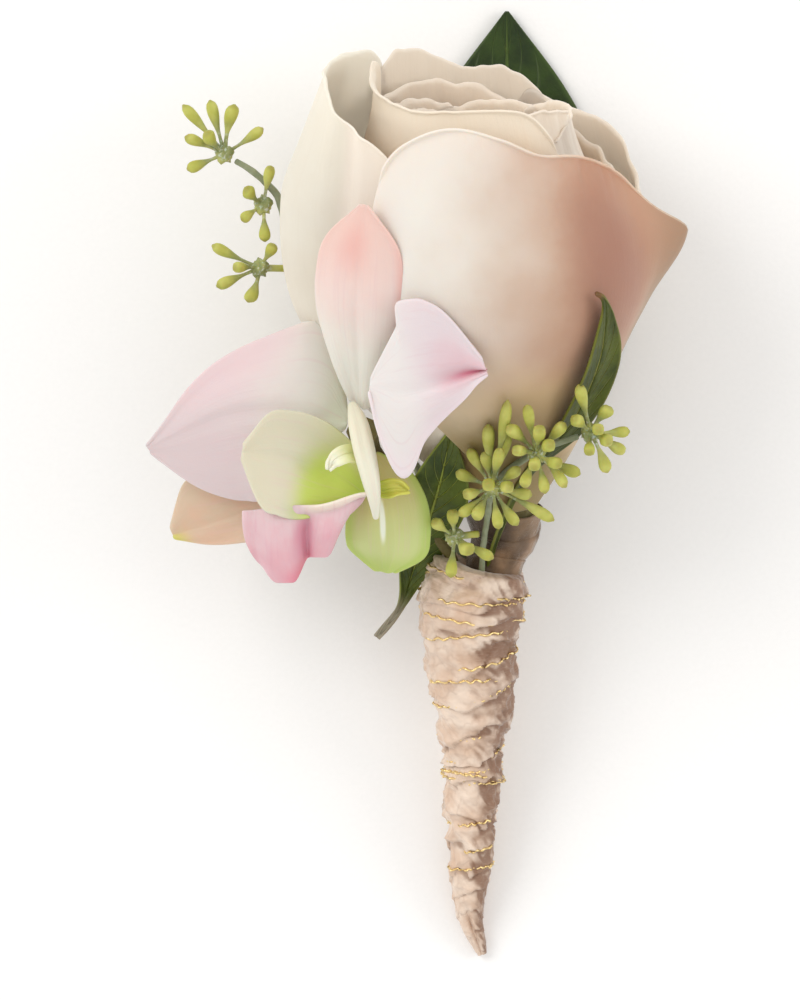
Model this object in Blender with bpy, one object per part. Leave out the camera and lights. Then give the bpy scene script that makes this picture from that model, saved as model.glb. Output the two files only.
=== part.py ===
"""Boutonniere lying on its back: a rose, an orchid bloom, seeded eucalyptus and leaves, bound with ribbon.

The arrangement runs along +Y, its front faces +Z, and its back leaf lies flat on the surface at z = 0.
Lengths are in millimetres and angles in degrees; MM turns a length into Blender's metres.
The origin ends up under the middle of the whole object's box.
"""
import bmesh
import bpy
from math import cos, pi, radians, sin
from mathutils import Vector

MM = 0.001
GAP = 0.3                      # clearance that touching pieces keep

# The rose: where its hip sits, which way it points, and the outline of its cup of petals
ROSE_BASE = Vector((13.6, -4.5, 14.0))
ROSE_UP = Vector((-4.2, 54.9, 17.7)).normalized()
ROSE_SIDE = ROSE_UP.cross(Vector((0, 0, 1))).normalized()
ROSE_FRONT = ROSE_SIDE.cross(ROSE_UP)
ROSE_CUP = ((0, 3.3), (4, 4.8), (8, 7.3), (13, 10.4), (19, 13.8), (26, 17.6), (33, 20.8),
            (40, 21.6), (47, 20.2), (53, 18.8), (63, 18.0))    # height above the hip, radius
PETAL_THICKNESS = 0.4
PETAL_STEP = 0.8               # how far a petal's tucked side lies inside its outer side
CLAW_SHARE = 0.3               # width of a petal where it grows from the hip
FULL_WIDTH = 0.45              # share of its length at which a petal is at its widest
RIM_NARROWING, CORNER_DROP = 0.36, 0.12    # how the upper half narrows and how its corners come down
FLARE_START = 0.55             # share of its length above which a petal may turn outwards
FIRST_CLAW, CLAW_RISE = 4.5, 0.85
CROWD_START, CROWD_LENGTH = 6, 16          # heights over which the petals spread from the hip
RING_RIM_DROP = 3              # how far an inner petal's corners lie below the middle of its rim
HIP_FOOT, HIP_TOP, HIP_RINGS = -1.0, 15.5, 10
BOSS_RADIUS, BOSS_GAP, BOSS_TIP = 4.1, 0.4, 0.3    # the hip's boss inside the petals

# Turn about the rose's axis (0 right, 90 front), half width, depth in the cup, rim heights, bulge, flare
OUTER_PETALS = (
    (67, 66, 0.8, (40, 55, 58.5, 59, 50), (0, 0, 0, 0, 0), (10, 1.5, 0, 0, 0)),
    (178, 60, 0.8, (52, 58, 61, 60, 55), (0, 0.5, 4.5, 4.0, 0.5), (0, 0, 0, 0, 0)),
    (266, 44, 0.8, (50, 54, 55, 54, 50), (0, 0, 0, 0, 0), (0, 0, 0, 0, 0)),
    (320, 33, 0.8, (46, 50, 51, 50, 46), (0, 0, 0, 0, 0), (0, 0, 0, 0, 0)),
)
# Each inner ring: how many petals, first turn, half width, depth, rim height at the middle of a petal
INNER_RINGS = ((5, 28, 58, 3.4, 58.5), (5, 64, 58, 6.0, 59.5), (4, 10, 66, 8.6, 58), (3, 60, 70, 10.9, 56),
               (2, 30, 62, 13.0, 54))

# The bound handle, from its tip up to the mouth where the stems go in
WRAP_SPINE = ((10.6, -58.6, 0.7), (10.1, -57.1, 1.2), (9.1, -53.7, 1.7), (9.0, -49.0, 3.0), (9.0, -45.1, 4.0),
              (9.1, -39.3, 5.6), (9.4, -34.1, 7.2), (9.2, -30.8, 8.2), (9.4, -24.8, 10.0), (8.9, -17.9, 11.8),
              (9.3, -12.8, 13.0), (10.4, -8.3, 14.0))
WRAP_RADII = (0.5, 1.0, 1.6, 2.3, 2.7, 3.1, 3.5, 3.9, 5.3, 6.2, 7.1, 6.1)
RIBBON_WALL, TAPE_WALL = 0.6, 0.3
RIBBON_FOOT, RIBBON_FLOOR = 0.0, 0.28      # share of the handle's length where a sleeve and its hollow begin
TAPE_FOOT, TAPE_FLOOR = 0.31, 0.34
SLEEVE_RINGS = 18
NECK_TOP, NECK_WALL, NECK_RINGS = 3.4, 0.45, 7
WIRE_RADIUS, WIRE_OFFSET = 0.35, 0.6       # the two florist wires, either side of the handle's middle line
WIRE_SHARES = (0.37, 0.45, 0.53, 0.61)
GOLD_RADIUS, GOLD_TURNS, GOLD_STEPS = 0.25, 8, 12
GOLD_SPAN = (0.24, 0.95)


def material(name, colour, roughness):
    """A plain finish of one colour."""
    made = bpy.data.materials.new(name)
    made.use_nodes = True
    shader = made.node_tree.nodes["Principled BSDF"]
    shader.inputs["Base Color"].default_value = (*colour, 1)
    shader.inputs["Roughness"].default_value = roughness
    return made


def clear_scene():
    for old in list(bpy.data.objects):
        bpy.data.objects.remove(old)


def smooth_value(knots, x):
    """The height at x of a smooth curve through (x, height) knots."""
    last = len(knots) - 2
    i = min(max(sum(1 for k in knots if k[0] <= x) - 1, 0), last)
    (x0, y0), (x1, y1) = knots[i], knots[i + 1]
    before, after = knots[max(i - 1, 0)], knots[min(i + 2, last + 1)]
    slope0 = (y1 - before[1]) / (x1 - before[0])
    slope1 = (after[1] - y0) / (after[0] - x0)
    width = x1 - x0
    u = min(max((x - x0) / width, 0), 1)
    return ((2 * u**3 - 3 * u**2 + 1) * y0 + (u**3 - 2 * u**2 + u) * width * slope0
            + (3 * u**2 - 2 * u**3) * y1 + (u**3 - u**2) * width * slope1)


def spread_value(values, share):
    """A smooth value at a share (0 to 1) along evenly spaced values."""
    return smooth_value([(i / (len(values) - 1), v) for i, v in enumerate(values)], share)


def path_point(points, share):
    """A point at a share (0 to 1) of a smooth path through the points, by their order."""
    return Vector([spread_value([p[k] for p in points], share) for k in range(3)])


def path_way(points, share):
    """The unit direction of the path there."""
    step = 0.01
    return (path_point(points, min(share + step, 1)) - path_point(points, max(share - step, 0))).normalized()


def keep(name, bm, finish):
    """Turn a bmesh in millimetres into a named object with its material."""
    bmesh.ops.scale(bm, vec=(MM, MM, MM), verts=bm.verts)
    mesh = bpy.data.meshes.new(name)
    bm.to_mesh(mesh)
    bm.free()
    mesh.materials.append(finish)
    mesh.shade_smooth()
    made = bpy.data.objects.new(name, mesh)
    bpy.context.collection.objects.link(made)
    return made


def sheet(name, place, cols, rows, thickness, finish):
    """A thin closed body: a grid put in place by place(across -1..1, along 0..1), then given thickness."""
    bm = bmesh.new()
    bmesh.ops.create_grid(bm, x_segments=cols, y_segments=rows, size=1)
    for vert in bm.verts:
        vert.co = place(vert.co.x, (vert.co.y + 1) / 2)
    made = keep(name, bm, finish)
    thicken(made, thickness, 0)
    return made


def thicken(made, thickness, offset):
    """Give a skin its thickness: offset 0 on both sides, -1 inwards."""
    solidify = made.modifiers.new("Thickness", "SOLIDIFY")
    solidify.thickness = thickness * MM
    solidify.offset = offset


def ring_body(name, rings, sides, finish, capped=True):
    """A skin through round sections, each a centre, an axis and a radius; capped, it is a solid."""
    bm = bmesh.new()
    ring = bmesh.ops.create_circle(bm, cap_ends=capped, segments=sides, radius=1)["verts"]
    turns = [2 * pi * i / sides for i in range(sides)]
    side = rings[0][1].orthogonal().normalized()
    for i, (centre, way, radius) in enumerate(rings):
        if i:
            edges = [e for e in {e for v in ring for e in v.link_edges} if all(v in ring for v in e.verts)]
            grown = bmesh.ops.extrude_edge_only(bm, edges=edges)["geom"]
            ring = matched(ring, [g for g in grown if isinstance(g, bmesh.types.BMVert)])
        side = (side - way * side.dot(way)).normalized()
        other = way.cross(side)
        for vert, turn in zip(ring, turns):
            vert.co = centre + (side * cos(turn) + other * sin(turn)) * radius
    if capped:
        bm.faces.new(ring)
    bmesh.ops.recalc_face_normals(bm, faces=bm.faces)
    first = next(iter(bm.faces)) if not capped else None
    if first and (first.calc_center_median() - rings[0][0]).dot(first.normal) < 0:
        bmesh.ops.reverse_faces(bm, faces=bm.faces)
    return keep(name, bm, finish)


def matched(ring, grown):
    """The extruded vertices in the order of the ring they grew from."""
    return [next(e.other_vert(v) for e in v.link_edges if e.other_vert(v) in grown) for v in ring]


def stem(name, points, radii, finish, count=14, sides=8):
    """A round stem along a smooth path, with its radius easing through the given values."""
    shares = [i / (count - 1) for i in range(count)]
    rings = [(path_point(points, s), path_way(points, s), spread_value(radii, s)) for s in shares]
    return ring_body(name, rings, sides, finish)


def blade(name, spine, left, right, finish, thickness=0.5, cup=0.0, face=(0, 0, 1), lowest=None, size=(6, 9)):
    """A leaf, sepal or petal along a spine, with its half widths to each side and its edges raised by cup."""
    toward = Vector(face).normalized()

    def place(across, along):
        way = path_way(spine, along)
        side = way.cross(toward).normalized()
        normal = side.cross(way)
        half = spread_value(right if across > 0 else left, along)
        point = path_point(spine, along) + side * across * half + normal * cup * across**2 * half
        if lowest is not None:
            point.z = max(point.z, lowest)
        return point

    return sheet(name, place, size[0], size[1], thickness, finish)


def rose_point(turn, height, radius):
    around = ROSE_SIDE * cos(radians(turn)) + ROSE_FRONT * sin(radians(turn))
    return ROSE_BASE + ROSE_UP * height + around * radius


def crowding(height):
    """How much of its depth in the cup a petal keeps at a height: they crowd together at the hip."""
    u = min(max((height - CROWD_START) / CROWD_LENGTH, 0), 1)
    return 0.5 + 0.5 * u * u * (3 - 2 * u)


def cup_radius(height, depth):
    return smooth_value(ROSE_CUP, height) - depth * crowding(height)


def claw_height(depth):
    return FIRST_CLAW + CLAW_RISE * depth


def rose_petal(name, turn, half, depth, rim, bulge, flare, finish, cols):
    """One petal: a narrow claw on the hip, a wide body on its own level of the cup, and a rounded rim."""
    def place(across, along):
        upper = max(along - 0.5, 0) / 0.5
        width = CLAW_SHARE + (1 - CLAW_SHARE) * sin(min(along / FULL_WIDTH, 1) * pi / 2)
        width *= (1 - RIM_NARROWING * upper**2) ** 0.5
        share = (across * width + 1) / 2
        foot = claw_height(depth)
        rounded = 1 - CORNER_DROP * across**2 * upper
        height = foot + (spread_value(rim, share) - foot) * along * rounded
        radius = cup_radius(height, depth - PETAL_STEP * across * width)
        radius += spread_value(bulge, share) * sin(pi * min(along, 1))
        radius += spread_value(flare, share) * max(along - FLARE_START, 0) / (1 - FLARE_START)
        return rose_point(turn + half * across * width, height, radius)

    return sheet(name, place, cols, 6, PETAL_THICKNESS, finish)


def build_rose(finish):
    for i, (turn, half, depth, rim, bulge, flare) in enumerate(OUTER_PETALS):
        rose_petal(f"rose_outer_petal_{i + 1}", turn, half, depth, rim, bulge, flare, finish["petal"], 10)
    flat = (0, 0, 0)
    for ring, (count, first, half, depth, top) in enumerate(INNER_RINGS):
        for i in range(count):
            name = f"rose_ring{ring + 2}_petal_{i + 1}"
            rim = (top - RING_RIM_DROP, top, top - RING_RIM_DROP)
            rose_petal(name, first + 360 * i / count, half, depth, rim, flat, flat, finish["petal"], 9)
    steps = [HIP_FOOT + (HIP_TOP - HIP_FOOT) * i / (HIP_RINGS - 1) for i in range(HIP_RINGS)]
    rings = [(ROSE_BASE + ROSE_UP * h, ROSE_UP, hip_radius(h)) for h in steps]
    ring_body("rose_hip", rings, 12, finish["green"])


def hip_radius(height):
    """The hip swells below the petals, then its boss tapers inside them, clear of every claw."""
    if height < FIRST_CLAW - 1:
        return smooth_value(((HIP_FOOT, 2.4), (0.5, 3.4), (2, 4.1), (FIRST_CLAW - 1, 4.2)), height)
    depth = max((height - FIRST_CLAW) / CLAW_RISE, 0)
    room = cup_radius(height, depth + PETAL_STEP * CLAW_SHARE) - PETAL_THICKNESS / 2 - BOSS_GAP
    return max(min(room, BOSS_RADIUS), BOSS_TIP)


def build_orchid(finish):
    """The bloom: five tepals and a lip that meet at the ovary, and the column in front of them."""
    blade("orchid_dorsal_sepal", ((-4.7, 11.6, 28.5), (-5.0, 18.7, 38.0), (-5.2, 26.0, 43.6),
                                  (-4.9, 36.4, 46.4)),
          (1.2, 4.2, 5.4, 4.2, 0.6), (1.2, 4.0, 5.4, 4.2, 0.6), finish["orchid"], cup=-0.25,
          face=(-0.35, -0.1, 1))
    blade("orchid_right_petal", ((-1.8, 9.6, 30.2), (0.8, 13.0, 39.2), (5.0, 17.4, 46.0), (10.7, 19.8, 48.0)),
          (1.0, 5.5, 7.6, 6.4, 1.2), (1.0, 6.2, 5.8, 4.6, 1.2), finish["orchid"], cup=-0.1,
          face=(0.25, -0.4, 1))
    blade("orchid_left_petal", ((-7.2, 9.8, 28.4), (-12.5, 11.0, 31), (-21.4, 10.7, 28.5), (-31.7, 6.6, 24)),
          (1.0, 10, 11.8, 7.5, 0.8), (1.0, 10, 11.5, 8.5, 0.8), finish["orchid"], cup=-0.12)
    blade("orchid_left_lateral_sepal", ((-6.4, 6.4, 25.8), (-12.6, 0.9, 23.5), (-21.5, -2.5, 20.5),
                                        (-28.9, -4.7, 18.5)),
          (1.0, 3.6, 4.2, 3.2, 0.5), (1.0, 3.4, 4.0, 3.0, 0.5), finish["orchid"])
    blade("orchid_right_lateral_sepal", ((-3.8, 5.8, 25.8), (-2.0, 0.2, 25.8), (-1.5, -5.2, 24),
                                         (-1.8, -9.2, 21)),
          (1.0, 4.4, 5.4, 4.6, 1.0), (1.0, 4.4, 5.0, 4.6, 1.0), finish["sepal"], cup=-0.15)
    blade("orchid_lip", ((-5.6, 6.6, 29.9), (-9.0, 2.6, 30.4), (-13.0, -2.7, 31.5), (-15.1, -9.8, 29)),
          (1.2, 4.6, 5.4, 6.0, 4.0), (1.2, 5.0, 5.6, 5.5, 3.5), finish["orchid"], thickness=0.6, cup=0.35)
    stem("orchid_column", ((-4.4, 9.8, 31.2), (-4.2, 6.0, 33.4), (-3.4, 1.5, 34.4)), (1.2, 1.5, 0.9),
         finish["cream"], count=8)
    stem("orchid_pedicel", ((-4.6, 8.8, 28.9), (-4.4, 8.2, 25.5), (-2.6, 5.6, 20), (3.4, -2.4, 16.6),
                            (7.2, -8.3, 15.0), (6.4, -14.0, 13.7), (6.2, -17.0, 12.9)),
         (2.0, 1.9, 0.9, 0.8, 0.8, 0.8, 0.8), finish["green"])


def umbel(name, knot, tips, finish, stalk=None, knot_radius=1.1):
    """A knot with club-shaped buds, grown as one body by drawing out faces of a small ball."""
    centre = Vector(knot)
    bm = bmesh.new()
    bmesh.ops.create_cube(bm, size=2)
    bmesh.ops.subdivide_edges(bm, edges=bm.edges, cuts=1, use_grid_fill=True)
    for vert in bm.verts:
        vert.co = centre + vert.co.normalized() * knot_radius
    ends = [(Vector(tip), False) for tip in tips]
    if stalk:
        ends.append((Vector(stalk), True))
    free = list(bm.faces)
    pairs = []
    for end, bare in ends:
        way = (end - centre).normalized()
        face = max(free, key=lambda f: (f.calc_center_median() - centre).normalized().dot(way))
        free.remove(face)
        pairs.append((face, end, bare))
    for face, end, bare in pairs:
        draw_out(bm, face, centre, end, bare, knot_radius)
    return keep(name, bm, finish)


def draw_out(bm, face, centre, end, bare, knot_radius):
    """Draw a face out along a stalk into a bud, or along a bare stalk, by (share of the way, radius)."""
    way = end - centre
    length = way.length
    way = way / length
    start = (knot_radius + 0.5) / length
    bud = ((start, 0.36), (max(0.5, start + 0.1), 0.36), (0.68, 0.78), (0.88, 0.85), (1.0, 0.3))
    stalk = ((start, 0.45), (0.7, 0.45), (1.0, 0.45))
    for share, radius in (stalk if bare else bud):
        face = bmesh.ops.extrude_discrete_faces(bm, faces=[face])["faces"][0]
        middle = face.calc_center_median()
        for vert in face.verts:
            off = vert.co - middle
            off = (off - way * off.dot(way)).normalized()
            vert.co = centre + way * length * share + off * radius


def build_eucalyptus(finish):
    """Two sprigs: one in front of the rose's base, one that comes out behind the rose on the left."""
    stem("right_sprig_stem", ((10.4, -15.5, 15.4), (10.4, -8.3, 17.2), (11.0, -2.8, 21.5), (12.2, 2.2, 25.9),
                              (17.0, 6.0, 30.2), (22.4, 8.0, 31.2)), (0.55, 0.55, 0.5, 0.45), finish["green"])
    umbel("right_buds_middle", (11.6, 1.6, 28.2),
          ((7.0, 3.5, 28.5), (8.6, 6.4, 31.2), (11.0, 9.4, 35.0), (13.4, 12.4, 38.6), (13.8, 1.6, 33.8),
           (9.4, -2.5, 29.5), (14.8, -3.2, 28), (16.6, 0.6, 28.6), (11.0, 2.0, 33.4)), finish["bud"])
    umbel("right_buds_outer", (17.1, 5.8, 32.4),
          ((15.8, 11.8, 38.4), (20.6, 9.6, 35.6), (18.2, 0.8, 33.4), (22.6, 3.2, 31.6), (16.6, 4.0, 37.4),
           (13.4, 9.2, 37.6)), finish["bud"])
    umbel("right_buds_tip", (23.9, 8.4, 32.6),
          ((22.3, 14.4, 36.6), (26.4, 11.6, 34), (28.8, 8.6, 31.6), (28.2, 6.0, 29.6), (23.6, 5.8, 36.8),
           (26.0, 3.4, 32)), finish["bud"])
    umbel("right_buds_low", (6.9, -4.6, 22.0),
          ((6.6, -1.4, 26), (9.0, -6.4, 25.5), (11.8, -7.4, 23.5), (6.4, -9.8, 23.6), (4.2, -2.6, 25.4)),
          finish["bud"], stalk=(9.9, -4.3, 20.7))
    stem("left_sprig_stem", ((8.7, -12.6, 10.8), (8.2, -8.3, 11.8), (5.4, -1.5, 9.4), (1.0, 6.0, 7.5),
                             (-5.6, 16.1, 7.5), (-11.5, 25.6, 9.5), (-14.3, 33.2, 12.5), (-15.5, 38.5, 14.5),
                             (-18.5, 41.6, 16), (-21.0, 43.2, 16.6)), (0.6, 0.6, 0.55, 0.5, 0.4),
         finish["green"], count=20)
    umbel("left_buds_top", (-22.3, 44.0, 17.0),
          ((-27.6, 50.2, 18), (-24.2, 50.9, 16), (-21.0, 50.2, 19), (-27.3, 46.1, 19), (-27.1, 42.0, 17),
           (-17.4, 47.3, 16.4)), finish["bud"])
    umbel("left_buds_middle", (-17.4, 37.6, 14.6),
          ((-20.2, 35.6, 15.6), (-17.2, 32.9, 14.8), (-16.4, 42.4, 18.6)), finish["bud"])
    umbel("left_buds_low", (-17.9, 29.6, 13.4),
          ((-24.0, 32.5, 14), (-23.4, 27.2, 14.6), (-19.4, 25.2, 13.4), (-21.2, 29.6, 16)), finish["bud"],
          stalk=(-14.1, 29.6, 11.6))


def build_leaves(finish):
    """The back leaf lies flat under the rose; the two narrow ones stand in front of it and beside it."""
    half = (0.6, 0.6, 0.8, 5.0, 13.5, 16.5, 15.0, 9.5, 0.5)
    blade("back_leaf", ((10.2, -13.0, 9.4), (10.2, -8.3, 10.6), (10.8, -2.5, 6.0), (12.0, 4, 0.4),
                        (12.7, 14, 0.4), (13.2, 27, 0.4), (13.6, 40, 0.4), (13.9, 52, 0.4), (13.9, 63.4, 0.4)),
          half, half, finish["leaf"], thickness=0.8, lowest=0.4, size=(4, 22))
    half = (0.5, 0.5, 0.6, 1.8, 3.0, 3.2, 2.4, 0.9, 0.35)
    blade("right_leaf", ((12.4, -13.5, 15.4), (12.6, -8.3, 16.9), (16.5, -3.5, 21.6), (20.5, 3.5, 25.3),
                         (23.9, 10.0, 29.2), (25.8, 16.5, 34.7), (26.2, 22.0, 39.6), (25.2, 25.6, 43)),
          half, half, finish["leaf"], size=(4, 14), face=(0.75, -0.4, 0.7))
    half = (0.5, 0.5, 1.3, 3.0, 2.8, 0.5)
    blade("left_leaf", ((-3.0, -17.6, 11), (0.0, -13.5, 11.8), (1.6, -9.0, 12), (3.0, -3.5, 11.9),
                        (2.6, 1.5, 12.2), (1.2, 7.0, 14.6)),
          half, half, finish["leaf"], size=(4, 12), face=(0.15, 0, 1))


def sleeve(name, foot, floor, outer_gap, wall, finish, sides):
    """A tube that follows the handle from its foot, hollow from its floor up to its open mouth."""
    steps = [i / (SLEEVE_RINGS - 1) for i in range(SLEEVE_RINGS)]
    outside = [foot + (1 - foot) * step for step in steps]
    inside = [floor + (1 - floor) * step for step in steps]

    def ring(share, inset):
        radius = spread_value(WRAP_RADII, share) - outer_gap - inset
        return path_point(WRAP_SPINE, share), path_way(WRAP_SPINE, share), radius

    outer = [ring(share, 0) for share in outside]
    inner = [ring(share, wall) for share in reversed(inside)]
    return ring_body(name, outer + inner, sides, finish)


def build_neck(finish):
    """The ribbon's first turns, around the rose's hip and down to the mouth of the handle."""
    spine = (rose_point(0, NECK_TOP, 0), ROSE_BASE, (12.9, -7.2, 13.5))
    radii = (4.9, 4.9, 3.2)
    shares = [i / (NECK_RINGS - 1) for i in range(NECK_RINGS)]
    rings = [(path_point(spine, s), path_way(spine, s), spread_value(radii, s)) for s in shares]
    neck = ring_body("ribbon_neck", rings, 16, finish, capped=False)
    thicken(neck, NECK_WALL, -1)


def build_binding(finish):
    """The ribbon sleeve and neck, and the tape, stem and wires that the sleeve holds."""
    sleeve("ribbon_wrap", RIBBON_FOOT, RIBBON_FLOOR, 0, RIBBON_WALL, finish["ribbon"], 16)
    build_neck(finish["ribbon"])
    sleeve("floral_tape", TAPE_FOOT, TAPE_FLOOR, RIBBON_WALL + GAP, TAPE_WALL, finish["green"], 12)
    foot = ROSE_BASE + ROSE_UP * (HIP_FOOT - 3 * GAP)
    stem("rose_stem", (foot, foot - ROSE_UP, (12.6, -8.8, 13.1), (11.4, -11.5, 12.9), (10.2, -16, 12.2),
                       (9.3, -22.5, 10.8), (9.3, -29.5, 8.7)),
         (1.9, 1.9, 1.9, 1.9, 1.7), finish["green"], sides=10)
    for side, name in ((-1, "florist_wire_left"), (1, "florist_wire_right")):
        run = [path_point(WRAP_SPINE, s) + Vector((WIRE_OFFSET * side, 0, 0)) for s in WIRE_SHARES]
        stem(name, run, (WIRE_RADIUS, WIRE_RADIUS), finish["steel"], count=8, sides=6)
    build_gold(finish)


def build_gold(finish):
    """One wire wound up the outside of the handle, clear of the ribbon by GAP."""
    count = GOLD_TURNS * GOLD_STEPS
    run = []
    for i in range(count + 1):
        share = GOLD_SPAN[0] + (GOLD_SPAN[1] - GOLD_SPAN[0]) * i / count
        way = path_way(WRAP_SPINE, share)
        across = way.cross(Vector((0, 0, 1))).normalized()
        up = across.cross(way)
        turn = 2 * pi * i / GOLD_STEPS
        radius = spread_value(WRAP_RADII, share) + GAP + GOLD_RADIUS
        run.append(path_point(WRAP_SPINE, share) + (across * cos(turn) + up * sin(turn)) * radius)
    ways = [(run[min(i + 1, count)] - run[max(i - 1, 0)]).normalized() for i in range(count + 1)]
    ring_body("gold_wire", [(p, w, GOLD_RADIUS) for p, w in zip(run, ways)], 5, finish["gold"])


def centre_on_origin():
    """Move every mesh so that the origin is under the middle of the whole object's box."""
    bpy.context.view_layer.update()
    graph = bpy.context.evaluated_depsgraph_get()
    points = [v.co for o in bpy.data.objects for v in o.evaluated_get(graph).data.vertices]
    low = [min(p[k] for p in points) for k in range(3)]
    high = [max(p[k] for p in points) for k in range(3)]
    shift = Vector((-(low[0] + high[0]) / 2, -(low[1] + high[1]) / 2, -low[2]))
    for made in bpy.data.objects:
        for vert in made.data.vertices:
            vert.co += shift


def build():
    clear_scene()
    finish = {
        "petal": material("rose_petal", (0.86, 0.72, 0.60), 0.55),
        "orchid": material("orchid_tepal", (0.85, 0.70, 0.70), 0.5),
        "sepal": material("orchid_green_sepal", (0.55, 0.60, 0.25), 0.5),
        "cream": material("orchid_column", (0.80, 0.76, 0.62), 0.5),
        "bud": material("eucalyptus_bud", (0.36, 0.38, 0.09), 0.5),
        "green": material("stem_green", (0.25, 0.30, 0.14), 0.6),
        "leaf": material("dark_leaf", (0.04, 0.08, 0.02), 0.4),
        "ribbon": material("satin_ribbon", (0.62, 0.45, 0.32), 0.35),
        "gold": material("gold_wire", (0.75, 0.50, 0.18), 0.3),
        "steel": material("florist_wire", (0.30, 0.32, 0.30), 0.4),
    }
    build_rose(finish)
    build_orchid(finish)
    build_eucalyptus(finish)
    build_leaves(finish)
    build_binding(finish)
    centre_on_origin()


build()
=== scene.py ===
"""A boutonniere lying flat: a rose, an orchid bloom, seeded eucalyptus and leaves in a ribbon handle."""
import bmesh
import bpy
from math import cos, exp, floor, log, pi, radians, sin
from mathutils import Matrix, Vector, noise


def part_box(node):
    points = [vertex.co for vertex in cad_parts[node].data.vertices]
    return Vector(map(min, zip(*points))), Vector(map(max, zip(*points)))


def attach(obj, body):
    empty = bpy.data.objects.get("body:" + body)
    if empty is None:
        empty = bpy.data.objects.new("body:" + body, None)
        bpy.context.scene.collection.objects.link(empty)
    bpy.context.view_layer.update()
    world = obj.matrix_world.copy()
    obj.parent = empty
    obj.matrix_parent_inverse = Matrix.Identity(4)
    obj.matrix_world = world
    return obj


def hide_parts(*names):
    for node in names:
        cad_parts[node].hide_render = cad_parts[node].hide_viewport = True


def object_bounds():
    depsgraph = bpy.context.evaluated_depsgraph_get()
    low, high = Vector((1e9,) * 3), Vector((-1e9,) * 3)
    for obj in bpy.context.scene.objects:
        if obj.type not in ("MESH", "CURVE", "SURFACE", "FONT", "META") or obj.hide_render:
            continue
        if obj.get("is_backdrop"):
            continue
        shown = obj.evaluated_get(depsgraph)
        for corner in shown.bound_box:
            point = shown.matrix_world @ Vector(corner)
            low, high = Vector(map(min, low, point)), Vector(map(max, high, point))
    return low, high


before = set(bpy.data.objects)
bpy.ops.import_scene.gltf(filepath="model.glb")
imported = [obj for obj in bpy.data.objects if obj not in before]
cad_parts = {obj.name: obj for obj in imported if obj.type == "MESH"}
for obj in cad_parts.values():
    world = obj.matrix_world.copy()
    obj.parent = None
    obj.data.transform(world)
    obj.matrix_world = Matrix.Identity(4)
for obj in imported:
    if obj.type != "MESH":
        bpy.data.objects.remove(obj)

cad_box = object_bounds()


# -------------------------------- The table it lies on, the light and the camera
# A white card under soft window light that comes from the upper left, seen from straight above.
# All is drawn in millimetres around the middle of the view, and the rose's hip places it in the frame.
MM = 0.001
HIP_CORNER = Vector((8.787, -6.353, 10.858))  # the lowest corner of the hip's box, as drawn
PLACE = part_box("rose_hip")[0] / MM - HIP_CORNER
CARD_HALF = 2  # half the card's width, in metres
VIEW_HEIGHT = 1020
LENS, SENSOR = 284, 36
SKY, SKY_COLOUR = 0.90, (1, 0.99, 0.975, 1)
# Each lamp: where it hangs, how wide it is, its power and its colour
LAMPS = (((-520, 330, 640), 520, 2.6, (1, 0.98, 0.95)), ((620, 120, 420), 320, 0.9, (1, 0.97, 0.94)))


def paint(chart):
    """A colour from its 0-255 values on a paint chart."""
    return tuple(((c / 255 + 0.055) / 1.055)**2.4 for c in chart) + (1,)


class Shade:
    """A socket of a finish. Arithmetic on it adds the Math nodes that work the result out."""

    def __init__(self, finish, socket):
        self.finish = finish
        self.socket = socket

    def math(self, operation, *values):
        return self.finish.node("ShaderNodeMath", {"operation": operation}, dict(enumerate(values)))

    def __add__(self, other):
        return self.math("ADD", self, other)

    __radd__ = __add__

    def __sub__(self, other):
        return self.math("SUBTRACT", self, other)

    def __rsub__(self, other):
        return self.math("SUBTRACT", other, self)

    def __mul__(self, other):
        return self.math("MULTIPLY", self, other)

    def __abs__(self):
        return self.math("ABSOLUTE", self)

    def rise(self, low, high):
        """A smooth step from 0 at low to 1 at high, whichever of the two is the greater."""
        if low < high:
            values = {"Value": self, "From Min": low, "From Max": high}
            return self.finish.node("ShaderNodeMapRange", {"interpolation_type": "SMOOTHSTEP"}, values)
        return 1 - self.rise(high, low)

    def hump(self, middle, half):
        """1 at the middle value, falling smoothly to 0 at half a width to each side."""
        return abs(self - middle).rise(half, 0)


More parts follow.
